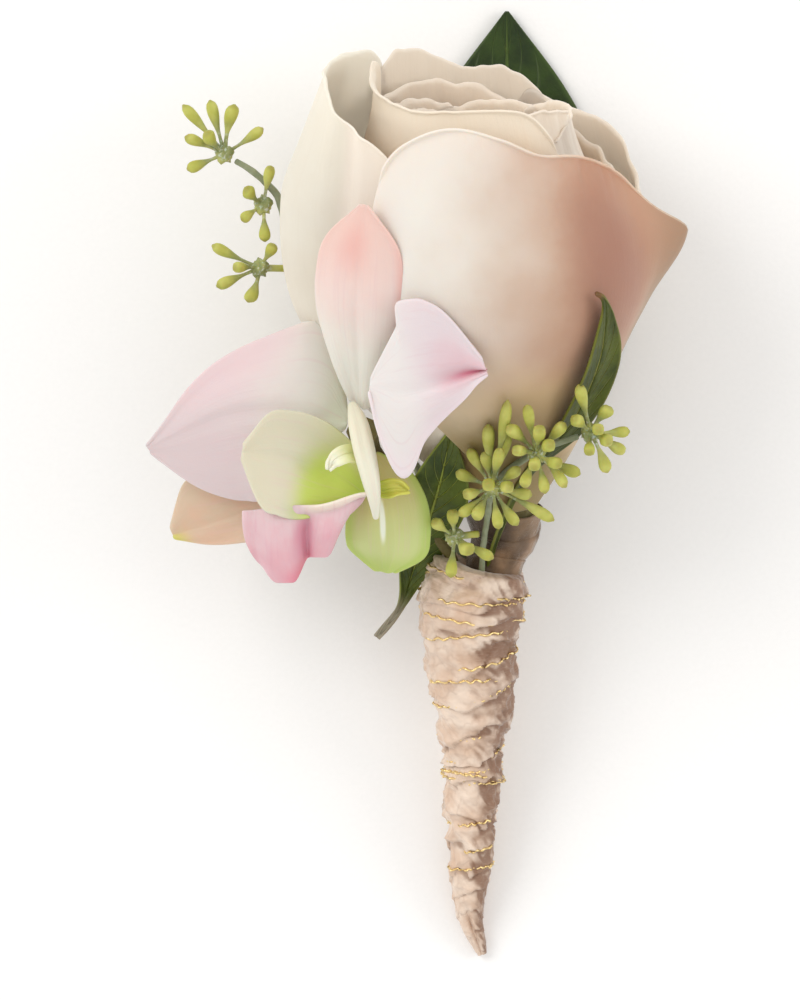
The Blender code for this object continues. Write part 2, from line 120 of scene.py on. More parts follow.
class Finish:
    """A material being made: its nodes are added one by one, and done() joins them to the shader."""

    def __init__(self, name, **constants):
        self.material = bpy.data.materials.new(name)
        self.material.use_nodes = True
        self.tree = self.material.node_tree
        self.shader = self.tree.nodes["Principled BSDF"]
        for socket, value in constants.items():
            self.shader.inputs[socket.replace("_", " ")].default_value = value

    def node(self, kind, settings, values, output=0):
        made = self.tree.nodes.new(kind)
        for key, value in settings.items():
            setattr(made, key, value)
        for key, value in values.items():
            self.feed(made.inputs[key], value)
        return Shade(self, made.outputs[output])

    def feed(self, socket, value):
        if isinstance(value, Shade):
            self.tree.links.new(value.socket, socket)
        else:
            socket.default_value = value

    def spread(self):
        """How far across and how far along the piece, from its own UV map."""
        uv = self.node("ShaderNodeUVMap", {"uv_map": "Spread"}, {})
        parts = self.tree.nodes.new("ShaderNodeSeparateXYZ")
        self.feed(parts.inputs[0], uv)
        return Shade(self, parts.outputs[0]), Shade(self, parts.outputs[1])

    def vector(self, x, y, z=0):
        return self.node("ShaderNodeCombineXYZ", {}, {0: x, 1: y, 2: z})

    def grain(self, size, detail=2, where=None):
        """Smooth noise from 0 to 1 with lumps of about that size in millimetres, or in steps of where."""
        scale = 1 / size if where else 1 / (size * MM)
        where = where or self.node("ShaderNodeTexCoord", {}, {}, "Object")
        return self.node("ShaderNodeTexNoise", {}, {"Vector": where, "Scale": scale, "Detail": detail})

    def base(self, share, first, second):
        """Colour the piece from the first colour to the second, by a share at each spot."""
        self.colour = paint(first)
        self.tint(share, second)

    def tint(self, share, over):
        """Lay a further colour over it, by a share at each spot."""
        values = {0: share, 6: self.colour, 7: paint(over)}
        self.colour = self.node("ShaderNodeMix", {"data_type": "RGBA"}, values, 2)

    def done(self, roughness, relief, depth):
        """Join the colour, the roughness and a relief of that depth in millimetres to the shader."""
        self.feed(self.shader.inputs["Base Color"], self.colour)
        self.feed(self.shader.inputs["Roughness"], roughness)
        values = {"Height": relief, "Distance": depth * MM, "Strength": 1.0}
        self.feed(self.shader.inputs["Normal"], self.node("ShaderNodeBump", {}, values))
        return self.material


def card_finish():
    card = Finish("card", Specular_IOR_Level=0.2)
    fibre = card.grain(0.6)
    card.base(fibre, (243, 243, 243), (247, 247, 247))
    return card.done(0.85, fibre, 0.02)


def put_in_scene(name, data):
    made = bpy.data.objects.new(name, data)
    bpy.context.scene.collection.objects.link(made)
    return made


mesh = bpy.data.meshes.new("card")
bm = bmesh.new()
bmesh.ops.create_grid(bm, x_segments=1, y_segments=1, size=CARD_HALF)
bm.to_mesh(mesh)
bm.free()
mesh.materials.append(card_finish())
put_in_scene("card", mesh)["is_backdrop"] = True
world = bpy.data.worlds.new("room")
world.use_nodes = True
sky = world.node_tree.nodes["Background"].inputs
sky["Color"].default_value = SKY_COLOUR
sky["Strength"].default_value = SKY
bpy.context.scene.world = world
for i, (place, width, power, colour) in enumerate(LAMPS):
    lamp = bpy.data.lights.new(f"window_{i}", "AREA")
    lamp.shape = "DISK"
    lamp.size = width * MM
    lamp.energy = power
    lamp.color = colour
    hung = put_in_scene(f"window_{i}", lamp)
    hung.location = Vector(place) * MM
    hung.rotation_euler = (-hung.location).to_track_quat("-Z", "Y").to_euler()
eye = bpy.data.cameras.new("eye")
eye.lens = LENS
eye.sensor_fit = "VERTICAL"
eye.sensor_height = SENSOR
seat = put_in_scene("eye", eye)
seat.location = (PLACE + Vector((0, 0, VIEW_HEIGHT))) * MM
bpy.context.scene.camera = seat
bpy.context.scene.view_settings.view_transform = "Standard"


# -------------------------------- The rose
# A half-open garden rose, cream with a blush of peach. Its petals grow in rings from the hip, each with a
# narrow claw, a body that follows the cup of the bloom and a thin rim that rolls outwards.
ROSE_BASE = Vector((13.6, -4.5, 14))
ROSE_UP = Vector((-4.2, 54.9, 17.7)).normalized()
ROSE_SIDE = ROSE_UP.cross(Vector((0, 0, 1))).normalized()
ROSE_FRONT = ROSE_SIDE.cross(ROSE_UP)
ROSE_CUP = ((0, 3.3), (4, 4.8), (8, 7.3), (13, 10.4), (19, 13.8), (26, 17.6), (33, 20.8),
            (40, 21.6), (47, 20.2), (53, 18.8), (63, 18))  # height above the hip, radius
PETAL_WALL = 0.34
PETAL_COLS, FRONT_COLS, PETAL_ROWS = 40, 96, 34
CLAW_SHARE, CLAW_END = 0.3, 0.45  # width of the claw, and where it has widened to the body
FIRST_CLAW, CLAW_RISE = 4.5, 0.85  # height of the first claw, and how much deeper ones rise
ROLL_START = 0.86  # share of a petal's length at which its rim starts to roll
CORNER_TURN, CORNER_REACH = 10, 3.4  # the front petal's sharp corner
NO_CORNER = -400  # a turn that no petal reaches
HEART_HIGH, HEART_LEAN = 110, 2.2  # the inner rings stand higher on this side, by this much
HEART_CORE = 1.4  # the innermost rims come no nearer to the axis

# Each outer petal: depth in the cup, the rim's curl and how far it turns, the rim's waves, rounding of its
# first and last corner, and the rim as (turn about the axis, height, radius); turn 0 is right, 90 the front
OUTER_PETALS = {
    "rose_outer_petal_1": (0, (0.85, 95), 0, (0, 0.25), (
        (-8, 27, 18.6), (2, 34.6, 21.2), (10, 40, 23), (18, 43.8, 21.6), (30, 49.2, 19.8), (50, 53.2, 19),
        (68, 54.6, 18.6), (82, 57.2, 18.5), (101, 59.1, 18.5), (116, 57.6, 18.9), (126, 54.6, 19.4),
        (136, 47.5, 20.3))),
    "rose_outer_petal_2": (0.6, (0.8, 60), 0.15, (0.2, 0.3), (
        (112, 44, 20.2), (121, 50.5, 19.4), (129, 54.9, 18.9), (143, 57.3, 19.3), (153, 58.9, 19.2),
        (162, 61, 18.8), (175, 62.6, 18.3), (197, 62.6, 17.8), (212, 62.4, 17.4), (225, 61.6, 17.2),
        (236, 58.5, 17))),
    "rose_outer_petal_3": (1, (0.7, 50), 0.35, (0.3, 0.3), (
        (222, 57, 18), (238, 60.8, 18.1), (254, 59.3, 18.1), (266, 57.4, 18.1), (278, 57.1, 18.1),
        (292, 55.3, 18.1), (304, 50.5, 18.5))),
    "rose_outer_petal_4": (1.2, (0.8, 60), 0.3, (0.3, 0.3), (
        (282, 50, 19), (293, 54, 19), (302, 52.5, 19.1), (312, 51.6, 19.1), (328, 50.6, 19.5),
        (339, 49, 19.5), (350, 46.4, 19.6), (368, 43.5, 19.4), (384, 40, 19.4))),
}
# The rings inside: ring, how many petals, first turn, half width, depth, rim height, how far the rim's curl
# turns, and how far the rim leans in towards the axis
INNER_RINGS = ((3, 5, 64, 56, 6.3, 56.4, 75, 0.3), (4, 4, 10, 62, 8.6, 55.6, 80, 1),
               (5, 3, 60, 66, 10.8, 55, 80, 2), (6, 2, 30, 76, 12.8, 54.6, 60, 3.6))
# The five petals of the second ring, in the same form as the outer ones
SECOND_RING = {
    "rose_ring2_petal_1": (2.2, (0.6, 40), 0.2, (0.3, 0.3), (
        (-28, 41, 18), (0, 44, 18.2), (24, 45.5, 17.8), (48, 49, 17), (76, 50, 16.6))),
    "rose_ring2_petal_2": (2.6, (1, 85), 0.1, (0.3, 0.3), (
        (44, 48, 16.6), (54, 54, 16.6), (66, 58.8, 16.4), (80, 60.2, 16.2), (98, 60.4, 15.9), (120, 60.2, 15),
        (143, 60.7, 13.6), (165, 60.9, 12.6), (185, 61.2, 12.3), (206, 61.9, 13), (218, 60.6, 13.6))),
    "rose_ring2_petal_3": (1.9, (0.6, 30), 0.1, (0.3, 0.3), (
        (118, 46, 17.6), (150, 50, 17.4), (180, 52, 17.2), (210, 51, 17), (236, 46, 17))),
    "rose_ring2_petal_4": (2.8, (0.8, 70), 0.35, (0.3, 0.3), (
        (190, 50, 15.6), (215, 55.5, 15.4), (244, 56.8, 15.2), (270, 55.4, 15.2), (300, 51, 15.6))),
    "rose_ring2_petal_5": (2.6, (0.8, 70), 0.35, (0.3, 0.3), (
        (262, 49, 16), (290, 52.4, 15.8), (316, 50.4, 15.8), (345, 47.4, 16.2), (372, 44, 16.8))),
}


def smooth_value(knots, x):
    """The height at x of a smooth curve through (x, height) knots."""
    last = len(knots) - 2
    i = min(max(sum(1 for k in knots if k[0] <= x) - 1, 0), last)
    (x0, y0), (x1, y1) = knots[i], knots[i + 1]
    before, after = knots[max(i - 1, 0)], knots[min(i + 2, last + 1)]
    width = x1 - x0
    slope0 = (y1 - before[1]) / (x1 - before[0]) * width
    slope1 = (after[1] - y0) / (after[0] - x0) * width
    u = min(max((x - x0) / width, 0), 1)
    return ((2 * u**3 - 3 * u**2 + 1) * y0 + (u**3 - 2 * u**2 + u) * slope0
            + (3 * u**2 - 2 * u**3) * y1 + (u**3 - u**2) * slope1)


def ease(x, low, high):
    """0 below low, 1 above high, and a smooth step between them."""
    u = min(max((x - low) / (high - low), 0), 1)
    return u * u * (3 - 2 * u)


WELD = 0.0002  # points of a skin nearer than this become one


def skin(place, cols, rows, tube=False, bm=None, tone=None):
    """A grid set in place by place(across, along), both 0 to 1, that keeps them as its UV map, added to bm.
    A tube has its two sides joined and its ends closed; tone(across, along) is kept as an attribute."""
    made = bmesh.new()
    made.loops.layers.uv.new("Spread")
    bmesh.ops.create_grid(made, x_segments=cols, y_segments=rows, size=0.5, calc_uvs=True)
    if tone:
        layer = made.verts.layers.float.new("Tone")
        for vert in made.verts:
            vert[layer] = tone(vert.co.x + 0.5, vert.co.y + 0.5)
    for vert in made.verts:
        vert.co = place(vert.co.x + 0.5, vert.co.y + 0.5)
    if tube:
        bmesh.ops.remove_doubles(made, verts=made.verts, dist=WELD)
        bmesh.ops.holes_fill(made, edges=made.edges, sides=0)
        bmesh.ops.recalc_face_normals(made, faces=made.faces)
    if bm is None:
        return made
    part = bpy.data.meshes.new("part")
    made.to_mesh(part)
    made.free()
    bm.from_mesh(part)
    bpy.data.meshes.remove(part)
    return bm


def keep(name, bm, finish, wall=0, levels=1):
    """Turn a bmesh drawn in millimetres into a piece of the arrangement, with a wall if it is a skin."""
    bmesh.ops.translate(bm, vec=PLACE, verts=bm.verts)
    bmesh.ops.scale(bm, vec=(MM, MM, MM), verts=bm.verts)
    mesh = bpy.data.meshes.new(name)
    bm.to_mesh(mesh)
    bm.free()
    mesh.materials.append(finish)
    mesh.shade_smooth()
    piece = put_in_scene(name, mesh)
    if wall:
        solidify = piece.modifiers.new("Wall", "SOLIDIFY")
        solidify.thickness = wall * MM
        solidify.offset = 0
    if levels:
        subdivide = piece.modifiers.new("Smooth", "SUBSURF")
        subdivide.levels = levels
        subdivide.render_levels = levels
    return piece


def rose_point(turn, height, radius):
    around = ROSE_SIDE * cos(radians(turn)) + ROSE_FRONT * sin(radians(turn))
    return ROSE_BASE + ROSE_UP * height + around * radius


def cup_radius(height, depth):
    """Radius of the cup at a height; inner petals crowd together at the hip."""
    return smooth_value(ROSE_CUP, height) - depth * (0.5 + 0.5 * ease(height, 6, 22))


SIDE_LEAN = ((8, 0), (20, 3.6), (30, 4.4), (40, 4.6), (48, 5.2), (52, 4.2), (57, 2.4), (63, 0))
SIDE_CREASE, SIDE_CREASE_TURN = 1.1, 148


def side_petal_relief(turn, height):
    """The left petal leans well out of the cup, and folds along a crease in front."""
    lean = smooth_value(SIDE_LEAN, height) * (ease(turn, 136, 176) * (1 - 0.8 * ease(turn, 190, 236)))
    return lean - SIDE_CREASE * (1 - ease(abs(turn - SIDE_CREASE_TURN), 0, 8)) * ease(height, 36, 50)


def front_petal_relief(turn, height):
    """The front petal comes to a sharp corner on the right, and has small puckers under its rim."""
    past = turn - CORNER_TURN
    corner = max(1 - past / 20, 0)**2 if past > 0 else max(1 + past / 9, 0)
    corner *= CORNER_REACH * ease(height, 31, 41)
    pucker = ease(height, 44, 56) * (1 - ease(abs(turn - 44), 0, 26))
    return corner + 0.6 * pucker * noise.noise(Vector((turn * 0.35, height * 0.2, 9)))


RELIEFS = {"rose_outer_petal_1": front_petal_relief, "rose_outer_petal_2": side_petal_relief}


def rose_petal(depth, roll, wave, corners, rim, seed, relief=None, flat_corner=NO_CORNER, cols=PETAL_COLS):
    """One petal from its claw to its rim, with its own relief; up to a flat corner the rim hardly rolls."""
    low, high = rim[0][0], rim[-1][0]
    heights = [(turn, height) for turn, height, _ in rim]
    radii = [(turn, radius) for turn, _, radius in rim]
    foot = FIRST_CLAW + CLAW_RISE * depth
    curl, curl_turn = roll

    def place(across, along):
        side = across * 2 - 1
        upper = max(along - 0.5, 0) / 0.5
        width = CLAW_SHARE + (1 - CLAW_SHARE) * sin(min(along / CLAW_END, 1) * pi / 2)
        width *= 1 - corners[side > 0] * upper**2 * 0.5
        turn = (low + high) / 2 + (high - low) / 2 * side * width
        ripple = noise.noise(Vector((turn * 0.09, seed, 0)))
        ripple += 0.5 * noise.noise(Vector((turn * 0.25, seed, 3)))
        top = smooth_value(heights, turn) + wave * 2 * ripple
        rim_radius = smooth_value(radii, turn) + wave * 1.5 * noise.noise(Vector((turn * 0.12, seed, 7)))
        rolled = max(along - ROLL_START, 0) / 0.14
        body = min(along / ROLL_START, 1)
        lip = curl * (0.75 + 0.5 * noise.noise(Vector((turn * 0.06, seed, 5))))
        lip *= 0.08 + 0.92 * ease(turn, flat_corner + 6, flat_corner + 26)
        top -= lip * sin(radians(min(curl_turn, 90)))
        height = foot + (top - foot) * body
        radius = cup_radius(height, depth - 0.6 * side * width)
        radius += (rim_radius - lip * 0.3 - cup_radius(top, depth)) * ease(body, 0.5, 1)**1.3
        radius += 0.25 * noise.noise(Vector((turn * 0.035, height * 0.07, seed))) * ease(body, 0.2, 0.5)
        if relief:
            radius += relief(turn, height)
        angle = radians(curl_turn) * rolled
        return rose_point(turn, height + lip * sin(angle), radius + lip * (1 - cos(angle)))

    return skin(place, cols, PETAL_ROWS)


def petal_finish(name, cream, blush, deep, depth, lit_strip):
    """Petal skin: cream, blushing in broad soft patches, with fine veins. Below a share of its height it
    warms to the deep colour, partly its own and partly painted shade in the cup, and at the claw to dark
    olive, partly its own green and partly painted shade at the hip. Up to a given share across, a painted
    highlight makes it lighter and rosier where it turns to the light."""
    petal = Finish(name, Specular_IOR_Level=0.3, Subsurface_Weight=0.5, Subsurface_Scale=0.0025,
                   Subsurface_Radius=(1, 0.9, 0.8), Sheen_Weight=0.1, Sheen_Roughness=0.5)
    across, along = petal.spread()
    cloud = petal.grain(9, 3)
    veins = petal.grain(1, 3, petal.vector(across * 70, along * 4))
    blushing = along.rise(0.95, 0.35) * 0.6 + (cloud - 0.5) * 0.8
    petal.base(blushing.rise(0, 1) * 0.8, cream, blush)
    inside = along + (cloud - 0.5) * 0.16
    # Warmer deep in the cup: partly the petals' own warm base, partly painted warm shade
    petal.tint(inside.rise(depth, depth - 0.25) * 0.85, deep)
    # Painted highlight where the petal turns to the light
    petal.tint(across.rise(lit_strip + 0.02, lit_strip - 0.02) * 0.6, (240, 222, 206))
    petal.tint(veins.rise(0.5, 0.75) * 0.1, blush)
    # Dark olive at the claw: partly its own green, partly painted shade at the hip
    petal.tint(inside.rise(0.24, 0.08) * 0.85, (126, 108, 56))
    return petal.done(0.46 + cloud * 0.16, veins * 0.6 + petal.grain(0.35) * 0.4, 0.05)


def front_petal_finish():
    """The wide front petal: warm white on the left; to the right and lower down a warm pink-beige, a dusky
    shoulder and a darker corner, each partly its own blush and partly painted shade on the side turned from
    the light.
    """
    petal = Finish("rose_front_petal", Specular_IOR_Level=0.3, Subsurface_Weight=0.3, Subsurface_Scale=0.002,
                   Subsurface_Radius=(1, 0.55, 0.35), Sheen_Weight=0.15, Sheen_Roughness=0.5)
    across, along = petal.spread()
    cloud = petal.grain(8, 3) - 0.5
    fine = petal.grain(1.6, 3) - 0.5
    veins = petal.grain(1, 3, petal.vector(across * 110, along * 5))
    # Darker to the right and lower down: partly the petal's own blush, partly painted shade on the side
    # turned from the light
    peach_and_shade = (0.88 - across) * 2 + (0.72 - along) * 0.6 + cloud * 0.35
    petal.base(peach_and_shade.rise(0, 1), (234, 223, 213), (190, 150, 124))
    # A dusky shoulder: partly blush, partly painted shade in the hollow under the flared corner
    shoulder_blush_and_shade = across.hump(0.35, 0.26) * along.hump(0.62, 0.4) + cloud * 0.25 + fine * 0.12
    petal.tint(shoulder_blush_and_shade.rise(0, 1) * 0.85, (160, 112, 94))
    # The flared corner darker still: partly its own beige, partly painted shade
    petal.tint(across.rise(0.24, 0.1) * 0.85, (146, 126, 102))
    # Towards the claw: warmer, then dark olive, partly its own green and partly painted shade at the hip
    base = along + (0.5 - across) * 0.12 + cloud * 0.15
    petal.tint(base.rise(0.42, 0.26) * 0.6, (214, 184, 138))
    petal.tint(base.rise(0.26, 0.12) * 0.9, (128, 110, 56))
    # Painted highlight along the rolled rim, where it catches the light
    rolled = along.rise(0.9, 0.98) * (0.5 + fine)
    petal.tint(rolled * 0.6, (236, 222, 206))
    return petal.done(0.48 + cloud * 0.2, veins * 0.5 + petal.grain(0.3) * 0.4, 0.04)


no_lit_strip = -1
white = petal_finish("rose_side_petal", (231, 222, 203), (222, 206, 184), (235, 221, 199),
                     0.6, 0.3)
heart = petal_finish("rose_heart_petal", (235, 217, 194), (236, 203, 171), (240, 184, 130),
                     0.85, no_lit_strip)
inner = petal_finish("rose_inner_petal", (234, 216, 196), (226, 194, 166), (220, 164, 116),
                     0.75, no_lit_strip)
# The rear petals take a darker copy of the inner finish: painted shade on the petals at the rear of the cup
shaded_back = petal_finish("rose_back_petal", (224, 208, 190), (206, 184, 162), (196, 170, 136),
                    0.7, no_lit_strip)
finishes = {"rose_outer_petal_1": front_petal_finish(), "rose_outer_petal_2": white,
            "rose_outer_petal_3": shaded_back, "rose_outer_petal_4": shaded_back, "rose_ring2_petal_2": heart,
            "rose_ring2_petal_3": heart}
pieces = []
for seed, (name, (depth, roll, wave, corners, rim)) in enumerate({**OUTER_PETALS, **SECOND_RING}.items()):
    corner, cols = (CORNER_TURN, FRONT_COLS) if name == "rose_outer_petal_1" else (NO_CORNER, PETAL_COLS)
    petal = rose_petal(depth, roll, wave, corners, rim, seed, RELIEFS.get(name), corner, cols)
    pieces.append(keep(name + "_skin", petal, finishes.get(name, inner), PETAL_WALL))
for ring, count, first, half, depth, top, curl_turn, lean_in in INNER_RINGS:
    for i in range(count):
        name = f"rose_ring{ring}_petal_{i + 1}"
        middle = first + 360 * i / count
        edge = max(cup_radius(top, depth) - lean_in, HEART_CORE)
        crest = top + HEART_LEAN * cos(radians(middle - HEART_HIGH))
        rim = [(middle + half * s, crest - 2.6 * s * s, edge - 0.5 * s) for s in (-1, -0.5, 0, 0.5, 1)]
        petal = rose_petal(depth, (0.8, curl_turn), 0.3, (0.35, 0.35), rim, ring * 7 + i)
        pieces.append(keep(name + "_skin", petal, inner, PETAL_WALL))
for piece in pieces:
    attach(piece, "root")
    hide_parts(piece.name.removesuffix("_skin"))


# -------------------------------- The rose's hip and the stems wired below it
# The hip swells under the petals. Below it the cut stem and the orchid's stalk run down inside the ribbon, so
# only a little of them shows at the neck.
def stem_finish(name, dark, light):
    stem = Finish(name, Specular_IOR_Level=0.35, Subsurface_Weight=0.1, Subsurface_Scale=0.001)
    fibre = stem.grain(0.8, 3)
    bloom = stem.grain(3, 2)
    stem.base(fibre, dark, light)
    stem.tint(bloom.rise(0.5, 0.8) * 0.35, (176, 178, 150))
    return stem.done(0.5 + bloom * 0.2, fibre, 0.08)


def repaint(node, finish):
    """Give a part of the frame that is shown as it is its own finish."""
    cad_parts[node].data.materials.clear()
    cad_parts[node].data.materials.append(finish)


hip_green = stem_finish("hip_green", (88, 78, 40), (118, 106, 58))
for node in ("rose_hip", "rose_stem", "orchid_pedicel"):
    repaint(node, hip_green)


# -------------------------------- The orchid bloom
# A pale pink orchid: three sepals and two broad petals of waxy skin around a lip with a green throat, with
# the column standing over it. Everything meets at the ovary behind the column.
TEPAL_WALL = 0.4
# Each tepal: its spine, half widths to its first and second side, how far its edges lift, which way it faces
TEPALS = {
    "orchid_dorsal_sepal": (
        ((-4.9, 11.6, 30.5), (-5.3, 18.7, 38.8), (-5.4, 26, 43.8), (-4.4, 36.5, 46.2)),
        (1.2, 3, 4.4, 5.4, 5.8, 5.8, 4.9, 0.5), (1.2, 3, 4.4, 5.4, 5.8, 5.7, 4.7, 0.5), -0.2,
        (-0.3, -0.1, 1)),
    "orchid_right_petal": (
        ((-3.8, 14.2, 41), (0.4, 13.4, 42), (5.4, 14.2, 43.3), (10.8, 15.8, 44)),
        (0.8, 7.4, 10.2, 11.6, 11.8, 11.2, 8.8, 2),
        (0.8, 4.6, 8.2, 12.2, 7.6, 5.6, 4.4, 3.4, 2.4, 1.2, 0.4), -0.06, (-0.16, -0.42, 1)),
    "orchid_left_petal": (
        ((-6.6, 9.8, 28.6), (-12.5, 11, 31.4), (-21.4, 10.7, 29), (-31.9, 6.5, 24.4)),
        (0.8, 4, 7, 9, 10.4, 11.2, 11.4, 11.2, 10.2, 7, 0.6),
        (0.8, 5.6, 10.2, 11.6, 10.9, 9.6, 8.2, 6.6, 4.7, 2.4, 0.4), -0.12, (0, 0, 1)),
    "orchid_left_lateral_sepal": (
        ((-6.4, 6.4, 25.8), (-12.6, 0.9, 23.8), (-21.5, -2.2, 20.9), (-28.9, -4.4, 18.8)),
        (1, 3, 3.8, 4, 3.8, 3.2, 2.2, 0.5), (1, 2.8, 3.8, 4.4, 5, 5.6, 6, 0.9), 0.06, (0, 0, 1)),
    "orchid_right_lateral_sepal": (
        ((-3.8, 5.8, 26.2), (-2, 0.2, 26.4), (-1.5, -5.2, 24.4), (-1.8, -9.2, 21.4)),
        (1, 3.8, 5, 5.5, 5.4, 4.7, 1.2), (1, 3.6, 4.6, 5.2, 5.4, 4.8, 1.4), -0.2, (0, 0, 1)),
}
# The lip's lobes, in the same form
LOBES = {
    "lip_side_lobe": (
        ((-4.6, 0.8, 30.6), (-8.6, 3.2, 31.4), (-13.6, 5.2, 33), (-19.8, 6, 34.4)),
        (1.6, 3.4, 5.4, 6.8, 7.4, 7.4, 6.6, 0.9), (1.6, 3.4, 4.6, 5.3, 5.8, 5.9, 5.2, 0.9), 0.2, (0.1, 0, 1)),
    "lip_hooked_lobe": (
        ((-4.4, 5.6, 33), (-6.4, 5.8, 34.8), (-8.2, 5, 35.2), (-8.9, 3.8, 34.6)),
        (0.9, 1.2, 1.1, 0.8, 0.2), (0.9, 1.3, 1.1, 0.7, 0.2), 0.2, (0, 0.2, 1)),
    "lip_right_lobe": (
        ((-3.2, 1, 30.6), (-1.8, 1.3, 31.4), (-0.4, 1.5, 31.4), (1, 1.2, 30.6)),
        (0.6, 1.1, 1.2, 0.9, 0.2), (0.6, 1, 1.1, 0.8, 0.2), 0.1, (0, 0, 1)),
}


def spread_value(values, share):
    """A smooth value at a share (0 to 1) along evenly spaced values."""
    return smooth_value([(i / (len(values) - 1), v) for i, v in enumerate(values)], share)


def path_point(points, share):
    """A point at a share (0 to 1) of a smooth path through the points, by their order."""
    return Vector([spread_value([p[k] for p in points], share) for k in range(3)])


def path_way(points, share):
    """The unit direction of the path there."""
    step = 0.01
    return (path_point(points, min(share + step, 1)) - path_point(points, max(share - step, 0))).normalized()


def blade(spine, first, second, lift, face, relief=None, cols=28, rows=40):
    """A leaf, sepal or petal along a spine; relief(side, along) pushes its skin up, in millimetres."""
    toward = Vector(face).normalized()

    def place(across, along):
        side = across * 2 - 1
        way = path_way(spine, along)
        beside = way.cross(toward).normalized()
        normal = beside.cross(way)
        half = max(spread_value(second if side > 0 else first, along), 0.05)
        up = lift * side**2 * half
        if relief:
            up += relief(side, along)
        return path_point(spine, along) + beside * side * half + normal * up

    return skin(place, cols, rows)


def wavy(seed, size, swell):
    """A relief of soft swells, stronger towards the edges, with a shallow groove along the middle."""
    def relief(side, along):
        swelling = noise.noise(Vector((side * size, along * size * 1.6, seed)))
        return swell * (0.35 + abs(side)) * swelling - 0.25 * (1 - ease(abs(side), 0, 0.16)) * sin(pi * along)

    return relief


def right_petal_relief(side, along):
    """The right petal folds along a crease that runs in from its tip."""
    crease = (1 - ease(abs(side + 0.03), 0, 0.2)) * ease(along, 0.45, 0.95)
    return wavy(4, 1.3, 0.6)(side, along) - 1.3 * crease


def tepal_finish(name, base, tips, shade):
    """Waxy petal skin, from its base colour to the colour of its tips, tinted by its own shade function."""
    tepal = Finish(name, Specular_IOR_Level=0.35, Subsurface_Weight=0.3, Subsurface_Scale=0.0016,
                   Subsurface_Radius=(1, 0.6, 0.5), Sheen_Weight=0.2, Sheen_Roughness=0.4)
    across, along = tepal.spread()
    cloud = tepal.grain(5, 3)
    veins = tepal.grain(1, 2, tepal.vector(across * 34, along * 2.2))
    tint = along.rise(0.15, 0.8) + (cloud - 0.5) * 0.5
    tepal.base(tint.rise(0, 1), base, tips)
    if shade:
        shade(tepal, across, along, cloud)
    tepal.tint(veins.rise(0.52, 0.72) * 0.16, (214, 178, 186))
    return tepal.done(0.42 + cloud * 0.14, veins * 0.7 + tepal.grain(0.25) * 0.3, 0.05)


def dorsal_shade(tepal, across, along, cloud):
    flush = along.rise(0.5, 1) + (cloud - 0.5) * 0.5
    tepal.tint(flush.rise(0, 1) * 0.8, (224, 188, 178))
    spot = across.hump(0.42, 0.3) * along.hump(0.83, 0.16)
    tepal.tint(spot * 0.5, (222, 160, 152))
    edge = across.rise(0.86, 1) * along.hump(0.66, 0.34)
    tepal.tint(edge * 0.7, (226, 158, 148))


def right_shade(tepal, across, along, cloud):
    flush = across.hump(0.46, 0.42) * along.rise(0.35, 0.95) + (cloud - 0.5) * 0.3
    tepal.tint(flush.rise(0, 1) * 0.8, (214, 176, 184))
    streak = across.hump(0.485, 0.07) * along.rise(0.6, 0.92)
    tepal.tint(streak * 0.9, (202, 112, 136))
    tepal.tint(across.rise(0.75, 1) * 0.5, (232, 212, 220))


def left_shade(tepal, across, along, cloud):
    flush = across.rise(0.45, 1) * along.hump(0.62, 0.45) + (cloud - 0.5) * 0.3
    tepal.tint(flush.rise(0, 0.9) * 0.55, (224, 196, 200))
    tepal.tint(along.rise(0.3, 0.08) * 0.7, (214, 222, 200))


def peach_shade(tepal, across, along, cloud):
    tepal.tint(cloud.rise(0.35, 0.7) * 0.6, (214, 176, 152))
    tip = along.rise(0.86, 1) * across.rise(0.7, 0.1)
    tepal.tint(tip, (200, 196, 96))


def green_shade(tepal, across, along, cloud):
    tepal.tint(across.rise(0.62, 1) * along.rise(0.75, 0.2) * 0.7, (196, 180, 140))
    rim = abs(across - 0.5).rise(0.28, 0.5) + along.rise(0.7, 1) * 0.8
    tepal.tint(rim.rise(0, 1) * 0.75, (170, 196, 92))
    # Painted highlight along the midrib
    streak = across.hump(0.56, 0.05) * along.hump(0.5, 0.26)
    tepal.tint(streak.rise(0, 0.6) * 0.9, (238, 240, 226))


def lobe_shade(tepal, across, along, cloud):
    throat = along.rise(0.8, 0.2) * across.hump(0.36, 0.66) + (cloud - 0.5) * 0.3
    tepal.tint(throat.rise(0.05, 0.6), (188, 206, 96))
    tepal.tint(along.rise(0.25, 0) * 0.6, (150, 178, 60))


SHADES = {
    "orchid_dorsal_sepal": ((228, 224, 214), (228, 204, 198), dorsal_shade),
    "orchid_right_petal": ((226, 220, 218), (220, 206, 210), right_shade),
    "orchid_left_petal": ((216, 214, 206), (206, 192, 194), left_shade),
    "orchid_left_lateral_sepal": ((196, 184, 162), (200, 182, 158), peach_shade),
    "orchid_right_lateral_sepal": ((196, 190, 126), (198, 208, 142), green_shade),
    "lip_side_lobe": ((196, 200, 136), (206, 202, 180), lobe_shade),
    "lip_hooked_lobe": ((216, 220, 150), (240, 236, 210), None),
    "lip_right_lobe": ((170, 180, 60), (206, 204, 90), None),
}


LOBE_X, LOBE_TOP, LOBE_Z = -11.4, -0.6, 33.2  # the middle of the lip's front, where it leaves the throat
LOBE_LEFT, LOBE_RIGHT, LOBE_BOTTOM = 8.4, 7.3, -7.2


